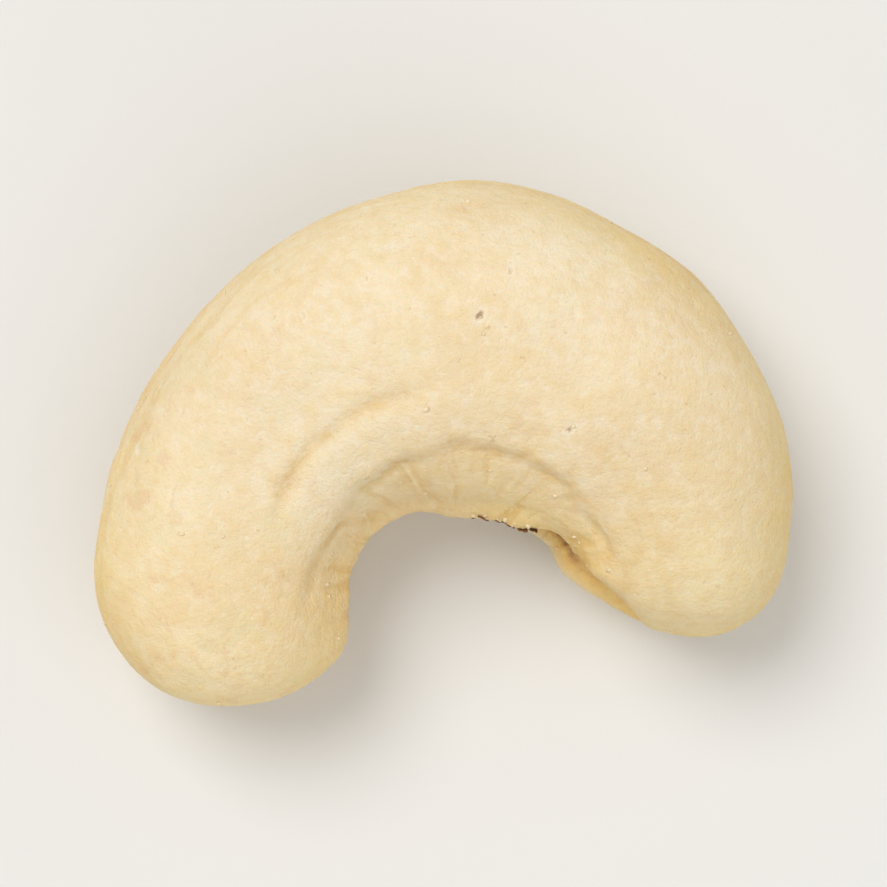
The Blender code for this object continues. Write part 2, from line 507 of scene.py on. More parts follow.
def kernel_rail():
    """The rail, from the tip of the short lobe to that of the long one. At both tips a cut keeps no size."""
    kept, reached = rounded_end()
    short_end = CUTS[0][0] + SHORT_LOBE_ROUND
    long_end = CUTS[-1][0] - LONG_LOBE_ROUND
    body = np.linspace(short_end, long_end, BODY_CUTS + 1)
    short_round = (short_end - SHORT_LOBE_ROUND * reached)[::-1]
    angle = np.concatenate([short_round, body, long_end + LONG_LOBE_ROUND * reached])
    kept = np.concatenate([kept[::-1], np.ones(len(body)), kept])
    kept[[0, -1]] = 0.0
    knots, *columns = zip(*CUTS)
    middle, half_width, half_thickness = (smooth_through(knots, column, angle) for column in columns)
    rail = bpy.data.meshes.new("kernel_rail")
    rail.from_pydata([(here, 0.0, 0.0) for here in angle], [], [])
    sizes = {"angle": angle, "kept": kept, "middle": middle, "half_width": half_width}
    for name, values in {**sizes, "half_thickness": half_thickness}.items():
        rail.attributes.new(name, "FLOAT", "POINT").data.foreach_set("value", values.astype(np.float32))
    return rail


# The skin over the rail

def smooth_skin(start):
    """A grid wrapped round the rail, one row for each cut, closed along its back and at both tips."""
    cuts = start.node("GeometryNodeAttributeDomainSize", (), {"Geometry": start})
    counts = {"Vertices X": cuts, "Vertices Y": start.of("Points round a cut") + 1}
    grid = start.node("GeometryNodeMeshGrid", (), counts)
    along = start.node("ShaderNodeSeparateXYZ", (), (grid.of("UV Map"),))
    row = start.maths("ROUND", along * (cuts - 1))

    def of_cut(name):
        sockets = {"Geometry": start, "Value": named(start, name), "Index": row}
        return start.node("GeometryNodeSampleIndex", {"data_type": "FLOAT"}, sockets)

    even = along.of("Y") * (2 * math.pi)
    turn = even - start.of("Seam crowding") * sine(even * 2.0)
    wide, tall = cosine(turn), sine(turn)
    fullness = start.of("Cut fullness")
    reach = (abs(wide) ** fullness + abs(tall) ** fullness) ** (-1.0 / fullness)
    up = reach * tall
    across = reach * wide + start.of("Back lean") * up * up
    angle = of_cut("angle")
    kept = of_cut("kept")
    middle, half_width = of_cut("middle"), of_cut("half_width")
    distance = middle + half_width * kept * across
    height = of_cut("half_thickness") * kept * up
    bay_side = climb((middle - distance) / half_width, *BAY_SIDE_RISE)
    bend = angle * math.radians(1.0)
    position = place(distance * cosine(bend), distance * sine(bend), height)
    skin = start.node("GeometryNodeSetPosition", (), {"Geometry": grid, "Position": position})
    skin = store(skin, bend_angle=angle, bend_distance=distance, seam_height=height, bay_side=bay_side)
    return start.node("GeometryNodeMergeByDistance", (), {"Geometry": skin, "Distance": MERGE_DISTANCE})


def seam_off(size, angle, height, bay_side):
    """The height over the seam, which wanders a little along the bend."""
    swing = seam_noise(angle, bay_side, SEAM_SWING, detail=4.0, roughness=0.6)
    return height - swing * size("Seam wander")


def seam_relief(size, angle, off, bay_side):
    """The groove along the back, the cleft and its lips in the bay, and the small step between the halves."""
    uneven = seam_noise(angle, bay_side, GROOVE_GAPS, detail=3.0)
    back_depth = size("Back groove depth") * climb(uneven, *GROOVE_RISE)
    cleft_depth = size("Cleft depth") * (uneven * CLEFT_UNEVENNESS + 1.0)
    depth = back_depth + (cleft_depth - back_depth) * bay_side
    width = size("Back groove width") + (size("Cleft width") - size("Back groove width")) * bay_side
    lips = size("Lip height") * bay_side * hump(abs(off), LIP_FROM_SEAM, LIP_WIDTH)
    offset = seam_noise(angle, bay_side, HALF_OFFSET_WAVES, detail=1.0) * size("Half offset")
    step = (climb(off, *HALF_STEP_RISE) - 0.5) * hump(off, 0.0, HALF_STEP_REACH)
    return lips - depth * hump(off, 0.0, width) + offset * 2.0 * step


def flank_relief(size, angle, distance, height):
    """The sunk collar round the bay with a crease at its step, and the long lobe's furrow with a raised band.

    They lie farther out at the top of the bend, where the kernel leans towards its bay. Gives the relief, how
    strongly painted shade darkens its folds and the collar's step, and where the collar is."""
    wavy = distance + flank_noise(angle, height, FLANK_WANDER_WAVES, detail=3.0) * FLANK_WANDER
    wavy = wavy - sine(angle * math.radians(1.0)) * LEAN
    collar_edge = COLLAR_DISTANCE
    for near, far, spread in COLLAR_SPREAD:
        share = climb(angle, near, far) if near < far else 1.0 - climb(angle, far, near)
        collar_edge = share * spread + collar_edge
    past_edge = wavy - collar_edge
    marked = climb(flank_noise(angle, height, COLLAR_MARK_WAVES), *COLLAR_MARK_RISE)
    inner = marked * COLLAR_SOFTNESS - COLLAR_SOFTNESS - COLLAR_STEP_WIDTH
    step = 1.0 - climb(past_edge, inner, COLLAR_SOFTNESS - marked * COLLAR_CRISPNESS)
    collar_stretch = over_stretch(angle, COLLAR_STRETCH)
    crease = hump(past_edge, -COLLAR_STEP_WIDTH, COLLAR_CREASE_WIDTH) * collar_stretch
    crease = crease * between(marked, COLLAR_CREASE_LEAST)
    furrow = hump(wavy, FURROW_DISTANCE, FURROW_WIDTH) * over_stretch(angle, FURROW_STRETCH)
    band = hump(wavy, BAND_DISTANCE, BAND_WIDTH) * over_stretch(angle, BAND_STRETCH)
    sunk = size("Collar depth") * step * collar_stretch
    sunk = sunk + size("Collar crease depth") * crease + size("Furrow depth") * furrow
    on_flank = climb(abs(height), *FLANK_HEIGHTS_RISE)
    collar = 1.0 - climb(past_edge, *COLLAR_FADE)
    # Painted shade on the step's outer slope, which joins the folds' tint.
    slope = hump(past_edge, *COLLAR_SLOPE_SHADE) * collar_stretch * COLLAR_SLOPE_SHADE_SHARE
    return (size("Band height") * band - sunk) * on_flank, (crease + furrow + slope) * on_flank, collar


def ledge_relief(size, angle, height, bay_side):
    """The ledge in the short lobe's side of the bay, where the upper half is drawn back from the lower.

    It is drawn back most at the lobe, where the lower half also has a lip."""
    step = climb(height, 0.0, LEDGE_STEP_HEIGHT)
    at_lobe = over_stretch(angle, LOBE_STRETCH)
    fade = 1.0 - climb(height, LEDGE_STEP_HEIGHT, at_lobe * LEDGE_TOP_RISE + LEDGE_TOP_HEIGHT)
    back = (size("Ledge depth") + size("Ledge depth more at the lobe") * at_lobe) * step * fade
    lip = size("Ledge lip height") * hump(height, *LEDGE_LIP) * at_lobe
    return (lip - back * over_stretch(angle, LEDGE_STRETCH)) * bay_side


def swell_relief(position):
    """Broad, low swells over the whole kernel."""
    total = 0.0
    for height, wavelength, way, phase in SWELLS:
        turns = Vector(way).normalized() * (2 * math.pi / wavelength)
        dot = {"operation": "DOT_PRODUCT"}
        turned = position.node("ShaderNodeVectorMath", dot, (position, turns), out="Value")
        total = sine(turned + math.radians(phase)) * height + total
    return total


def creases(at, width, detail=2.0):
    """1 along thin lines, where smooth noise crosses 0."""
    return hump(noise(at, 1.0, detail=detail), 0.0, width)


def dents(position):
    """Shallow flats and dents a few millimetres wide, mostly inwards."""
    broad = climb(noise(position, *BROAD_DENT_NOISE), *BROAD_DENT_RISE)
    return broad + noise(position, *SMALL_DENT_NOISE) * SMALL_DENT_SHARE


def bay_pleats(angle, distance, height):
    """Uneven folds that run from the bay's wall out over the collar."""
    near_bay = 1.0 - climb(distance, *PLEAT_REACH_FADE)
    bent = noise(along_bend(angle, distance, height, PLEAT_BENDS), 1.0) * PLEAT_BEND + angle
    across = along_bend(bent, distance, height, PLEATS)
    patch = noise(along_bend(angle, distance, height, PLEAT_PATCHES), PLEAT_PATCH_SCALE)
    lines = creases(across, PLEAT_LINE) * climb(patch, *PLEAT_PATCH_RISE)
    return (lines + noise(across, PLEAT_FOLD_SCALE) * PLEAT_FOLD_SHARE) * near_bay


def long_creases(angle, distance, height):
    """Fine wrinkles that follow the bend, in patches."""
    along = along_bend(angle, distance, height, WRINKLES)
    patch = climb(noise(along, WRINKLE_PATCH_SCALE), *WRINKLE_PATCH_RISE)
    return creases(along, WRINKLE_LINE, detail=3.0) * patch


def streaks(angle, distance, height):
    """Faint lines that run along the bend, side by side."""
    patch = climb(noise(along_bend(angle, distance, height, STREAK_PATCHES), 1.0), *STREAK_PATCH_RISE)
    return noise(along_bend(angle, distance, height, STREAKS), 1.0) * between(patch, STREAK_LEAST)


def striae(angle, distance, height, position):
    """A patch of faint straight lines on the upper flank."""
    here = hump(angle, STRIAE[0], STRIAE_SPREAD[0]) * hump(distance, STRIAE[1], STRIAE_SPREAD[1])
    turns = position.node("ShaderNodeSeparateXYZ", (), (position,)) * (2 * math.pi / STRIAE_WAVE)
    lines = sine(turns + noise(position, *STRIAE_NOISE) * STRIAE_BEND)
    return lines * here * climb(height, *STRIAE_HEIGHT_RISE)


def fine_relief(size, angle, distance, height, off, bay_side, position):
    """Dimples, faint streaks, grain and the torn edges of the cleft."""
    dimples = noise(position, *DIMPLE_NOISE)
    grain = noise(position, *GRAIN_NOISE)
    torn = noise(position, *TORN_NOISE)
    edge = hump(off, *TORN_EDGE) * between(bay_side, TORN_EDGE_LEAST)
    total = size("Dimple height") * dimples
    total = total + size("Streak height") * streaks(angle, distance, height)
    total = total + size("Grain height") * grain
    total = total + size("Striae height") * striae(angle, distance, height, position)
    return total + size("Torn edge height") * torn * edge


def crack_line(angle, off, bay_side, position):
    """1 along the crack in the bottom of the cleft, which runs lower where the upper half is drawn back."""
    ragged = noise(position, *CRACK_NOISE)
    gap = climb(seam_noise(angle, 1.0, CRACK_GAPS, detail=3.0), *CRACK_GAP_RISE)
    ledge = over_stretch(angle, LEDGE_STRETCH)
    width = (ledge * -CRACK_NARROWER_AT_LEDGE + 1.0) * CRACK_WIDTH
    middle = ledge * -CRACK_LOWER_AT_LEDGE - CRACK_BELOW_SEAM
    line = hump(off + ragged * CRACK_RAGGEDNESS, middle, width)
    open_here = climb(angle, *CRACK_ANGLE_RISE) * between(gap, *CRACK_OPEN)
    return line * climb(bay_side, *CRACK_BAY_RISE) * open_here


def radicle_hole(angle, distance, height):
    """1 in the small hole at the tip of the long lobe, where the germ sat between the halves."""
    hole_angle, hole_distance, radius = RADICLE
    sideways = (angle - hole_angle) * (math.radians(1.0) * hole_distance / radius)
    outwards = (distance - hole_distance) / radius
    upwards = height / (radius * RADICLE_TALLER)
    ragged = noise(along_bend(angle, distance, height, RADICLE_RAGGEDNESS), 1.0) * RADICLE_UNEVENNESS + 1.0
    off = (sideways * sideways + outwards * outwards + upwards * upwards) * ragged
    return off.maths("EXPONENT", -(off * off))


def listed_pits(angle, distance, height):
    """How marked each listed pit of the upper flank is, most in its middle."""
    total = 0.0
    for pit_angle, pit_distance, radius, marked in PITS:
        sideways = (angle - pit_angle) * (math.radians(1.0) * pit_distance / radius)
        outwards = (distance - pit_distance) / (radius * PIT_LONGER)
        sideways = sideways + outwards * PIT_SLANT
        off = sideways * sideways + outwards * outwards
        total = off.maths("EXPONENT", -off) * marked + total
    return total * climb(height, *PIT_HEIGHT_RISE)


def scattered_pits(position):
    """1 in the middle of a few pits strewn over the whole surface."""
    cells = position.node("ShaderNodeTexVoronoi", (), {"Vector": position, "Scale": STREWN_PIT_CELLS})
    chosen = cells.node("ShaderNodeSeparateXYZ", (), (cells.of("Color"),))
    pit = hump(cells.of("Distance"), 0.0, STREWN_PIT_WIDTH)
    return pit * climb(chosen, *STREWN_PIT_CHOSEN)


def skin_tree(material):
    """From the rail to the finished skin, in millimetres round the bend centre, before it is laid down."""
    start = new_tree("cashew skin", SKIN)
    size = start.of
    skin = smooth_skin(start)
    angle, distance = named(start, "bend_angle"), named(start, "bend_distance")
    height, bay_side = named(start, "seam_height"), named(start, "bay_side")
    position = start.node("GeometryNodeInputPosition")

    off = seam_off(size, angle, height, bay_side)
    flank, folds, collar = flank_relief(size, angle, distance, height)
    forms = seam_relief(size, angle, off, bay_side) + flank
    forms = forms + ledge_relief(size, angle, height, bay_side)
    forms = forms + swell_relief(position) - size("Dent depth") * dents(position)
    # The fold value is where painted shade darkens the folds, the furrow and the collar's step.
    skin = pushed_out(store(skin, fold=folds, collar=collar), forms)
    waves, phase = WARP_WAVES
    warp = sine(angle * math.radians(waves) + math.radians(phase)) * size("Warp")
    skin = moved(skin, place(0.0, 0.0, warp))

    marks = {
        "pit": listed_pits(angle, distance, height) + scattered_pits(position),
        "scuff": climb(noise(position, *SCUFF_NOISE), *SCUFF_RISE),
        "pleat": bay_pleats(angle, distance, height),
        "crease": long_creases(angle, distance, height),
        "radicle": radicle_hole(angle, distance, height),
    }
    skin = store(skin, **marks, seam_off=off, crack=crack_line(angle, off, bay_side, position))
    fine = fine_relief(size, angle, distance, height, named(start, "seam_off"), bay_side, position)
    depths = ("Pit depth", "Scuff depth", "Pleat depth", "Crease depth", "Radicle hole depth")
    for name, depth in zip(marks, depths):
        fine = fine - size(depth) * named(start, name)
    fine = fine - size("Crack depth") * named(start, "crack") ** 2.0
    return end_tree(pushed_out(skin, fine), material)


# Scraps and crumbs on the skin

def strewn_tree(name, sizes, shape, divisions, share, material):
    """From the finished skin to small grains on it. The share says how many there are at each place."""
    start = new_tree(name, sizes)
    size = start.of
    seed = size("Seed")
    number = size("Number in a square millimetre") * share(start)
    sockets = {"Mesh": start, "Density": number, "Seed": seed}
    spots = start.node("GeometryNodeDistributePointsOnFaces", (), sockets)
    ball = start.node("GeometryNodeMeshIcoSphere", (), {"Radius": 1.0, "Subdivisions": divisions})
    grain = start.node("GeometryNodeTransform", (), {"Geometry": ball, "Scale": shape})
    tilt = size("Tilt")
    lowest, highest = place(-tilt, -tilt, -math.pi), place(tilt, tilt, math.pi)
    sockets = {0: lowest, 1: highest, 8: seed}
    turn = start.node("FunctionNodeRandomValue", {"data_type": "FLOAT_VECTOR"}, sockets)
    turn = start.node("FunctionNodeEulerToRotation", (), (turn,))
    local = {"rotation_space": "LOCAL"}
    turn = start.node("FunctionNodeRotateRotation", local, (spots.of("Rotation"), turn))

    def drawn(low, high, shift):
        sockets = {2: low, 3: high, 8: seed + shift}
        return start.node("FunctionNodeRandomValue", {"data_type": "FLOAT"}, sockets, out=1)

    spots = store(spots, tone=drawn(0.0, 1.0, 1))
    grown_size = drawn(size("Smallest"), size("Largest"), 2)
    sockets = {"Points": spots, "Instance": grain, "Rotation": turn, "Scale": grown_size}
    grains = start.node("GeometryNodeInstanceOnPoints", (), sockets)
    grains = start.node("GeometryNodeRealizeInstances", (), {"Geometry": grains})
    here = start.node("GeometryNodeInputPosition")
    sockets = {"Vector": here, "Scale": size("Waves in a millimetre"), "Detail": 2.0}
    waves = start.node("ShaderNodeTexNoise", (), sockets).of("Color")
    ragged = start.node("ShaderNodeVectorMath", {"operation": "SUBTRACT"}, (waves, (0.5, 0.5, 0.5)))
    return end_tree(moved(grains, scaled(ragged, size("Raggedness"))), material)


def scrap_share(start):
    """Along the rim of the cleft, mostly on the short lobe's side of the bay."""
    angle, off, bay_side = named(start, "bend_angle"), named(start, "seam_off"), named(start, "bay_side")
    stretch = between(over_stretch(angle, SCRAP_STRETCH), SCRAP_LEAST)
    return stretch * hump(off, *SCRAP_RIM) * climb(bay_side, *SCRAP_BAY_RISE)


def crumb_share(start):
    """Over all that faces up, with more of them in the collar and a crust of them over the scraps."""
    facing = start.node("ShaderNodeSeparateXYZ", (), (start.node("GeometryNodeInputNormal"),), out="Z")
    strewn = climb(facing, *CRUMB_FACING_RISE) * between(named(start, "collar"), CRUMB_LEAST)
    crust = over_stretch(named(start, "bend_angle"), SCRAP_STRETCH)
    crust = crust * hump(named(start, "seam_off"), *CRUST_RIM) * named(start, "bay_side")
    return strewn + crust * CRUST


# Laying the pieces down

def vertices(mesh):
    points = np.empty(len(mesh.vertices) * 3, np.float32)
    mesh.vertices.foreach_get("co", points)
    return points.reshape(-1, 3).astype(float)


def point_values(mesh, name):
    values = np.empty(len(mesh.vertices), np.float32)
    mesh.attributes[name].data.foreach_get("value", values)
    return values


def laying(angle, points):
    """The turn, the foot and the scale that lay the kernel on its three lowest places, in metres."""
    turned, turn = points, np.eye(3)
    for _ in range(LAYING_ROUNDS):
        feet = []
        for low, high in REST_STRETCHES:
            here = turned[(angle >= low) & (angle <= high)]
            feet.append(Vector(here[here[:, 2].argmin()]))
        up = (feet[1] - feet[0]).cross(feet[2] - feet[0])
        up = up if up.z > 0 else -up
        turn = np.array(up.rotation_difference(Vector((0, 0, 1))).to_matrix()) @ turn
        turned = points @ turn.T
    low, high = turned.min(axis=0), turned.max(axis=0)
    foot = np.array([*(low + high)[:2] / 2, low[2] + REST_DEPTH])
    cad_low, cad_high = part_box(NODE)
    return turn, foot, (cad_high.x - cad_low.x) / (high - low)[0]


def lay_down(thing, turn, foot, scale):
    """Puts a piece that was made round the bend centre in its place, pressed flat where it would sink in."""
    points = (vertices(thing.data) @ turn.T - foot) * scale
    points[:, 2] = np.maximum(points[:, 2], 0.0)
    thing.data.vertices.foreach_set("co", points.astype(np.float32).ravel())
    thing.data.update()


# Materials

CREAM = (0.88, 0.70, 0.44)
PALE_CREAM = (0.93, 0.79, 0.55)
YELLOW_CREAM = (0.86, 0.64, 0.30)
OCHRE = (0.72, 0.46, 0.15)
TAN = (0.60, 0.34, 0.13)
ROSY_TAN = (0.80, 0.55, 0.34)
POWDER_AND_HIGHLIGHT = (0.94, 0.86, 0.70)
PIT_SHADE = (0.30, 0.15, 0.05)
CLEFT_BROWN_AND_SHADE = (0.13, 0.05, 0.016)
PALE_SAGE = (0.80, 0.73, 0.47)
SCRAP_DARK = (0.085, 0.030, 0.011)
SCRAP_BROWN = (0.36, 0.18, 0.075)
SCRAP_PALE = (0.66, 0.44, 0.26)
FLOOR_SHADES = ((0.78, 0.77, 0.75), (0.81, 0.80, 0.78))

# Tints that a colour is multiplied by. The short lobe's, the seam's and the bay's are painted shade, and the
# rim's is partly its yellow colour and partly painted shade.
LONG_LOBE_TINT = (1.0, 0.965, 0.86)
SHORT_LOBE_SHADE_TINT = (0.95, 0.93, 0.81)
RIM_YELLOW_AND_SHADE_TINT = (1.0, 0.91, 0.59)
PAINTED_SHADE_TINT = (0.93, 0.84, 0.66)
BAY_SHADE_TINT = (1.0, 0.965, 0.83)

# Noise of the flesh, from patches to grain, and of what lies on it.
BROAD_NOISE = (0.16, 3.0)
MIDDLE_SHARE_OF_PATCHES = 0.5
MIDDLE_NOISE = (0.6, 4.0, 0.6)
FINE_NOISE = (1.9, 4.0, 0.65)
FLESH_GRAIN_NOISE = (7.0, 3.0, 0.7)
ROSY_NOISE = (0.8, 4.0, 0.65, 0.8)
SAGE_NOISE = (0.45, 3.0, 0.6)
SPECK_NOISE = (2.4, 4.0, 0.7)
FLECK_NOISE = (3.4, 3.0, 0.7)
PAPERY_NOISE = (6.0, 4.0, 0.6)
POWDER_NOISE = (9.0, 3.0, 0.6)
FLOOR_NOISE = (0.02, 2.0)

# Marks of a colour: the value that each begins at, the value that it is full at, and how strongly it shows.
PALE_PATCHES = (-0.4, 0.4)
YELLOW_PATCHES = (0.0, 0.35, 0.28)
YELLOW_SPOTS = (0.0, 0.30, 0.28)
POWDER_SPOTS = (0.0, 0.30, 0.32)
ROSY_PATCHES = (0.08, 0.30)
SAGE_PATCHES = (0.02, 0.34)
PLEAT_SHADES = (0.05, 0.9, 0.68)
SPECKS = (0.30, 0.42, 0.35)
FLECKS = (0.32, 0.44, 0.50)
PIT_HIGHLIGHT_RIMS = (0.0, 0.08, 0.45)
PIT_SHADED_MIDDLES = (0.20, 0.95, 0.72)
CRACK_EDGES = (0.05, 0.65, 0.70)
CRACK_MIDDLES = (0.42, 0.92)
RADICLE_SHADE = (0.2, 0.9, 0.85)
SCRAP_TONES = (0.1, 0.9)
SCRAP_WEAR = (0.2, 0.5, 0.5)
CRUMB_WEAR = (0.0, 0.4, 0.4)
FLOOR_CLOUDS = (-0.6, 0.6)

# How strongly a tint shows: on average, and how much noise adds or takes away.
STAIN_STRENGTH = (0.32, 0.5)
RIM_STRENGTH = (0.85, 0.4)
SEAM_SHADE_STRENGTH = (0.55, 0.5)
BAY_SHADE_STRENGTH = (0.85, 0.5)
FOLD_SHADE_STRENGTH = (0.7, 0.8)
CLEFT_STRENGTH = (0.40, 0.5)
LIP_STRENGTH = (0.45, 0.5)
CREASE_SHADE_STRENGTH = 0.6
SCUFF_STRENGTH = 0.55

# Shares away from the long lobe and on it, how much the rim's tint, the bay's painted shade and the
# crack lose where they are pale, and how much fine noise and grain fray the crack.
ROSY_SHARE = (0.12, 0.34)
SAGE_SHARE = (0.12, 0.34)
RIM_LOSS = 0.6
BAY_LOSS = 0.5
CRACK_FRAY = (0.22, 0.14)
CRACK_STRENGTH = 0.85
CRACK_LOSS_AT_LEDGE = 0.35

# Pits in the colour, painted as shade with a ring of painted highlight: how ragged their outline is, how
# much of the strewn ones shows, and their highlight ring.
PIT_RAGGEDNESS = 0.4
PIT_RAGGED_DEGREES = 3.0
STREWN_PIT_SHARE = 0.3
PIT_HIGHLIGHT_RING = (0.14, 0.10)

# Where the tints lie: angles and heights from the seam, and where the rim's tint and the bay's painted shade
# are pale.
ROSY_RISE = (120.0, 165.0)
SAGE_RISE = (90.0, 160.0)
LONG_LOBE_RISE = (140.0, 200.0)
SHORT_LOBE_FADE = (-5.0, 45.0)
RIM_FADE = (1.2, 4.6)
PALE_RIM_STRETCH = (62.0, 90.0, 155.0, 185.0)
PALE_BAY_RISE = (140.0, 172.0)

# A stain in the furrow: its angle and distance, its spread in each, and the heights that it begins over.
STAIN = (149.5, 8.5)
STAIN_SPREAD = (4.5, 0.42)
STAIN_HEIGHT_RISE = (1.0, 2.0)

# The seam's painted shade, the cleft's ochre and the lower half's pale lip: a height from the seam and a
# width.
SEAM_SHADE = (0.0, 0.9)
CLEFT_OCHRE = (-0.15, 0.55)
PALE_LIP = (-0.85, 0.30)


def new_material(name):
    """A material with its shader, and a wire of the place on the piece in millimetres."""
    material = bpy.data.materials.new(name)
    material.use_nodes = True
    tree = material.node_tree
    shader = tree.nodes["Principled BSDF"]
    at = Wire(tree, tree.nodes.new("ShaderNodeTexCoord").outputs["Object"])
    return material, shader, scaled(at, 1 / MM)


def carried(at, name):
    """A value that the piece carries on its points."""
    return at.node("ShaderNodeAttribute", {"attribute_name": name}, (), out="Fac")


def mixed(share, first, second):
    """A colour between two, each a wire or three numbers."""
    first, second = (value if isinstance(value, Wire) else (*value, 1.0) for value in (first, second))
    sockets = {0: share, 6: first, 7: second}
    return share.node("ShaderNodeMix", {"data_type": "RGBA"}, sockets, out=2)


def tinted(share, colour, tint):
    """A colour turned towards its product with a tint, which keeps its mottling."""
    sockets = {0: share, 6: colour, 7: (*tint, 1.0)}
    return share.node("ShaderNodeMix", {"data_type": "RGBA", "blend_type": "MULTIPLY"}, sockets, out=2)


def shown(value, low, high, strength=1.0):
    """How strongly a mark shows, which begins where a value passes low and is full where it passes high."""
    return climb(value, low, high) * strength


def varied(value, average, swing):
    """A strength that noise raises and lowers round its average."""
    return value * swing + average


def plug(wire, shader, socket):
    wire.tree.links.new(wire.socket, shader.inputs[socket])


def flesh_colour(at, angle, broad, middle, fine):
    """Mottled cream with yellow and powdery spots, and rosy and sage patches, mostly on the long lobe."""
    colour = mixed(shown(broad + middle * MIDDLE_SHARE_OF_PATCHES, *PALE_PATCHES), CREAM, PALE_CREAM)
    colour = mixed(shown(middle, *YELLOW_PATCHES), colour, YELLOW_CREAM)
    colour = mixed(shown(fine, *YELLOW_SPOTS), colour, YELLOW_CREAM)
    colour = mixed(shown(-fine, *POWDER_SPOTS), colour, POWDER_AND_HIGHLIGHT)
    rosy = shown(noise(at, *ROSY_NOISE), *ROSY_PATCHES)
    colour = mixed(rosy * between(climb(angle, *ROSY_RISE), *ROSY_SHARE), colour, ROSY_TAN)
    sage = shown(noise(at, *SAGE_NOISE), *SAGE_PATCHES)
    return mixed(sage * between(climb(angle, *SAGE_RISE), *SAGE_SHARE), colour, PALE_SAGE)


def tinted_places(at, colour, angle, off, bay_side, middle, fine):
    """The long lobe's tint, the rim's yellow, and painted shade on the short lobe, rim, seam, bay and folds.
    """
    colour = tinted(climb(angle, *LONG_LOBE_RISE), colour, LONG_LOBE_TINT)
    # Painted shade: the short lobe darker and yellower.
    colour = tinted(1.0 - climb(angle, *SHORT_LOBE_FADE), colour, SHORT_LOBE_SHADE_TINT)
    long_lobe_side = climb(angle, *PALE_BAY_RISE)
    # The rim round the seam turns yellower: partly its own colour, partly painted shade.
    rim = (1.0 - climb(abs(off), *RIM_FADE)) * (1.0 - over_stretch(angle, PALE_RIM_STRETCH) * RIM_LOSS)
    rim = rim * (1.0 - bay_side * long_lobe_side * RIM_LOSS)
    colour = tinted(rim * varied(middle, *RIM_STRENGTH), colour, RIM_YELLOW_AND_SHADE_TINT)
    # Painted shade along the seam.
    colour = tinted(hump(off, *SEAM_SHADE) * varied(fine, *SEAM_SHADE_STRENGTH), colour, PAINTED_SHADE_TINT)
    # Painted warm shade in the collar round the bay, weaker towards the long lobe.
    bay_shade = carried(at, "collar") * varied(middle, *BAY_SHADE_STRENGTH) * (1.0 - long_lobe_side * BAY_LOSS)
    colour = tinted(bay_shade, colour, BAY_SHADE_TINT)
    # Painted shade in the pleats.
    colour = tinted(shown(carried(at, "pleat"), *PLEAT_SHADES), colour, PAINTED_SHADE_TINT)
    # Painted shade in the fine wrinkles, the folds, the furrow and the collar's step.
    folds = carried(at, "crease") * CREASE_SHADE_STRENGTH + carried(at, "fold") * varied(fine, *FOLD_SHADE_STRENGTH)
    return tinted(folds, colour, PAINTED_SHADE_TINT)


def small_marks(at, colour, angle, distance, height, fine):
    """Scuffs, brown specks, powdery flecks, and the pits as painted shade with painted highlight rims."""
    colour = mixed(carried(at, "scuff") * SCUFF_STRENGTH, colour, POWDER_AND_HIGHLIGHT)
    colour = mixed(shown(noise(at, *SPECK_NOISE), *SPECKS), colour, TAN)
    colour = mixed(shown(noise(at, *FLECK_NOISE), *FLECKS), colour, POWDER_AND_HIGHLIGHT)
    ragged = fine * PIT_RAGGEDNESS
    pits = listed_pits(angle + ragged * PIT_RAGGED_DEGREES, distance + ragged, height)
    pits = pits + carried(at, "pit") * STREWN_PIT_SHARE
    # A painted highlight round each pit's rim, then painted shade in its middle.
    colour = mixed(hump(pits, *PIT_HIGHLIGHT_RING) * shown(pits, *PIT_HIGHLIGHT_RIMS), colour, POWDER_AND_HIGHLIGHT)
    return mixed(shown(pits, *PIT_SHADED_MIDDLES), colour, PIT_SHADE)


def cleft_colour(at, colour, angle, off, bay_side, fine, grain):
    """The ochre cleft with its crack of brown stain and painted shade, the pale lip of the ledge, and
    painted shade in the germ's hole.
    """
    ledge = over_stretch(angle, LEDGE_STRETCH)
    cleft = hump(off, *CLEFT_OCHRE) * bay_side * varied(fine, *CLEFT_STRENGTH)
    colour = mixed(cleft * (1.0 - climb(angle, *PALE_BAY_RISE) * BAY_LOSS), colour, OCHRE)
    lip = hump(off, *PALE_LIP) * ledge * bay_side
    colour = mixed(lip * varied(fine, *LIP_STRENGTH), colour, PALE_CREAM)
    # The crack: tan at its edges, and brown stain darkened with painted shade in its middle.
    crack = carried(at, "crack") + fine * CRACK_FRAY[0] + grain * CRACK_FRAY[1]
    colour = mixed(shown(crack, *CRACK_EDGES), colour, TAN)
    strength = CRACK_STRENGTH - ledge * CRACK_LOSS_AT_LEDGE
    colour = mixed(shown(crack, *CRACK_MIDDLES) * strength, colour, CLEFT_BROWN_AND_SHADE)
    # Painted shade in the germ's hole.
    return mixed(shown(carried(at, "radicle"), *RADICLE_SHADE), colour, CLEFT_BROWN_AND_SHADE)


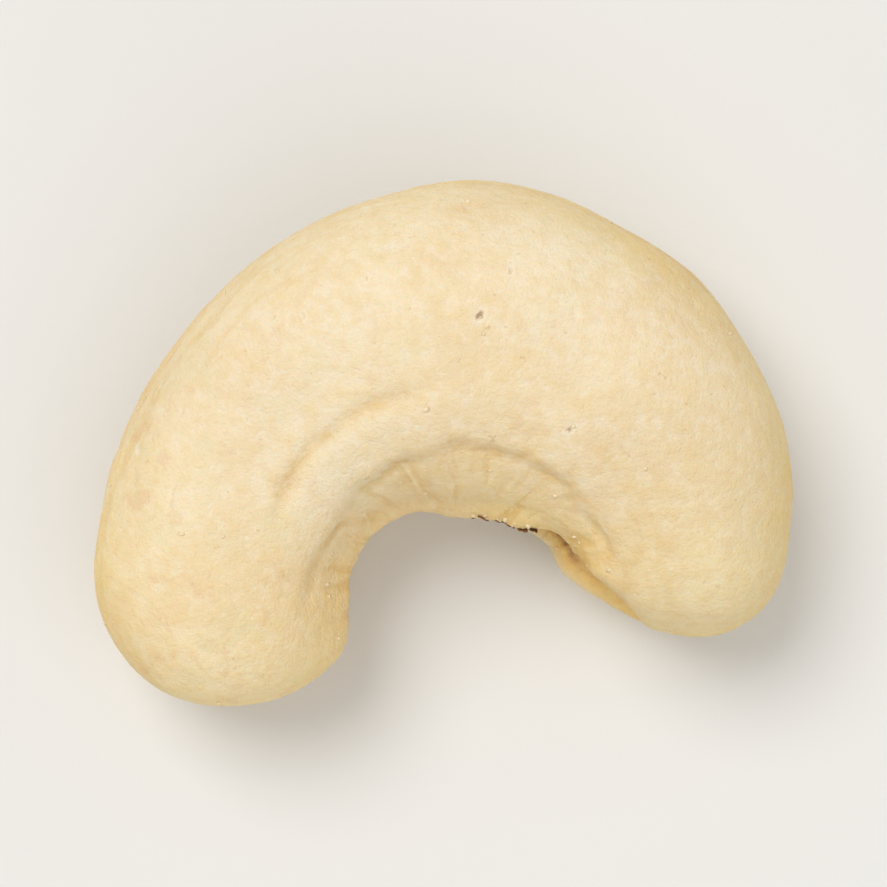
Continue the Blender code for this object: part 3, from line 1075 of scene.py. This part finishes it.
def kernel_material():
    material, shader, at = new_material("kernel_cream")
    angle, distance = carried(at, "bend_angle"), carried(at, "bend_distance")
    height, off, bay_side = (carried(at, name) for name in ("seam_height", "seam_off", "bay_side"))
    broad, middle = noise(at, *BROAD_NOISE), noise(at, *MIDDLE_NOISE)
    fine, grain = noise(at, *FINE_NOISE), noise(at, *FLESH_GRAIN_NOISE)

    colour = flesh_colour(at, angle, broad, middle, fine)
    stain = hump(angle, STAIN[0], STAIN_SPREAD[0]) * hump(distance, STAIN[1], STAIN_SPREAD[1])
    stain = stain * climb(height, *STAIN_HEIGHT_RISE)
    colour = mixed(stain * varied(fine, *STAIN_STRENGTH), colour, OCHRE)
    colour = tinted_places(at, colour, angle, off, bay_side, middle, fine)
    colour = small_marks(at, colour, angle, distance, height, fine)
    plug(cleft_colour(at, colour, angle, off, bay_side, fine, grain), shader, "Base Color")
    plug(middle * 0.06 + carried(at, "scuff") * 0.12 + fine * 0.08 + 0.50, shader, "Roughness")
    bumps = {"Strength": 0.55, "Distance": 0.0001, "Height": grain * 0.6 + fine}
    plug(at.node("ShaderNodeBump", (), bumps), shader, "Normal")
    shader.inputs["Specular IOR Level"].default_value = 0.40
    shader.inputs["Subsurface Weight"].default_value = 0.15
    shader.inputs["Subsurface Radius"].default_value = (1.0, 0.55, 0.22)
    shader.inputs["Subsurface Scale"].default_value = 0.0008
    return material


def scrap_material():
    material, shader, at = new_material("brown_skin")
    papery = noise(at, *PAPERY_NOISE)
    colour = mixed(shown(carried(at, "tone") + papery * 0.4, *SCRAP_TONES), SCRAP_DARK, SCRAP_BROWN)
    plug(mixed(shown(papery, *SCRAP_WEAR), colour, SCRAP_PALE), shader, "Base Color")
    plug(papery * 0.15 + 0.55, shader, "Roughness")
    bumps = {"Strength": 0.6, "Distance": 0.00004, "Height": papery}
    plug(at.node("ShaderNodeBump", (), bumps), shader, "Normal")
    return material


def crumb_material():
    material, shader, at = new_material("kernel_crumb")
    powder = noise(at, *POWDER_NOISE)
    colour = mixed(carried(at, "tone"), CREAM, PALE_CREAM)
    plug(mixed(shown(powder, *CRUMB_WEAR), colour, YELLOW_CREAM), shader, "Base Color")
    plug(powder * 0.1 + 0.6, shader, "Roughness")
    shader.inputs["Specular IOR Level"].default_value = 0.35
    return material


def floor_material():
    material, shader, at = new_material("pale_floor")
    clouds = shown(noise(at, *FLOOR_NOISE), *FLOOR_CLOUDS)
    plug(mixed(clouds, *FLOOR_SHADES), shader, "Base Color")
    shader.inputs["Roughness"].default_value = 0.85
    return material


# The finished pieces

def dressed(piece, *nodes):
    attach(piece, BODY)
    if nodes:
        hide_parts(*nodes)


def kernel():
    """The kernel with the scraps and crumbs on it: all are made round the bend centre and then laid down."""
    body = grown("kernel_body", kernel_rail(), skin_tree(kernel_material()), SKIN)
    scrap_sizes = ("skin scraps", SCRAPS, SCRAP_SHAPE, SCRAP_DIVISIONS)
    crumb_sizes = ("kernel crumbs", CRUMBS, CRUMB_SHAPE, CRUMB_DIVISIONS)
    scrap_tree = strewn_tree(*scrap_sizes, scrap_share, scrap_material())
    crumb_tree = strewn_tree(*crumb_sizes, crumb_share, crumb_material())
    scraps = grown("skin_scraps", body.data.copy(), scrap_tree, SCRAPS)
    crumbs = grown("kernel_crumbs", body.data.copy(), crumb_tree, CRUMBS)
    way = laying(point_values(body.data, "bend_angle"), vertices(body.data))
    for piece in (body, scraps, crumbs):
        lay_down(piece, *way)
    dressed(body, NODE)
    dressed(scraps)
    dressed(crumbs)


# The floor, the lights and the camera. Lengths are in metres, but those of the lens are in millimetres. A
# light has the way that it comes from, how many degrees wide it is, and its strength.

FLOOR_REACH = 1.5
DAYLIGHT = (1.0, 0.99, 0.97)
KEY_LIGHT = ((-0.42, 0.48, 1.0), 34.0, 1.53)
FILL_LIGHT = ((0.45, -0.60, 1.0), 60.0, 0.66)
AMBIENT = 0.49
AMBIENT_MORE_SEEN = 0.34
VIEW_WIDTH = 0.0355
AIM_HEIGHT = 0.0055
LENS = 180.0
SENSOR = 36.0


def floor():
    side = FLOOR_REACH
    corners = [(-side, -side, 0), (side, -side, 0), (side, side, 0), (-side, side, 0)]
    mesh = bpy.data.meshes.new("floor")
    mesh.from_pydata(corners, [], [(0, 1, 2, 3)])
    mesh.materials.append(floor_material())
    piece = bpy.data.objects.new("floor", mesh)
    bpy.context.scene.collection.objects.link(piece)


def soft_light(name, way, softness, strength):
    """A broad light that comes from this way, with soft shadows."""
    light = bpy.data.lights.new(name, "SUN")
    light.angle, light.energy, light.color = math.radians(softness), strength, DAYLIGHT
    holder = bpy.data.objects.new(name, light)
    holder.rotation_euler = Vector(way).to_track_quat("Z", "Y").to_euler()
    bpy.context.scene.collection.objects.link(holder)


def studio():
    soft_light("key", *KEY_LIGHT)
    soft_light("fill", *FILL_LIGHT)
    world = bpy.data.worlds.new("studio")
    world.use_nodes = True
    ground = world.node_tree.nodes["Background"]
    ground.inputs["Color"].default_value = (*DAYLIGHT, 1.0)
    seen = Wire(world.node_tree, world.node_tree.nodes.new("ShaderNodeLightPath").outputs["Is Camera Ray"])
    plug(seen * AMBIENT_MORE_SEEN + AMBIENT, ground, "Strength")
    bpy.context.scene.world = world
    bpy.context.scene.view_settings.view_transform = "Standard"


def camera():
    lens = bpy.data.cameras.new("camera")
    lens.lens, lens.sensor_width, lens.clip_start = LENS, SENSOR, 0.01
    holder = bpy.data.objects.new("camera", lens)
    holder.location = (0.0, 0.0, AIM_HEIGHT + VIEW_WIDTH * LENS / SENSOR)
    bpy.context.scene.collection.objects.link(holder)
    bpy.context.scene.camera = holder


kernel()
floor()
studio()
camera()
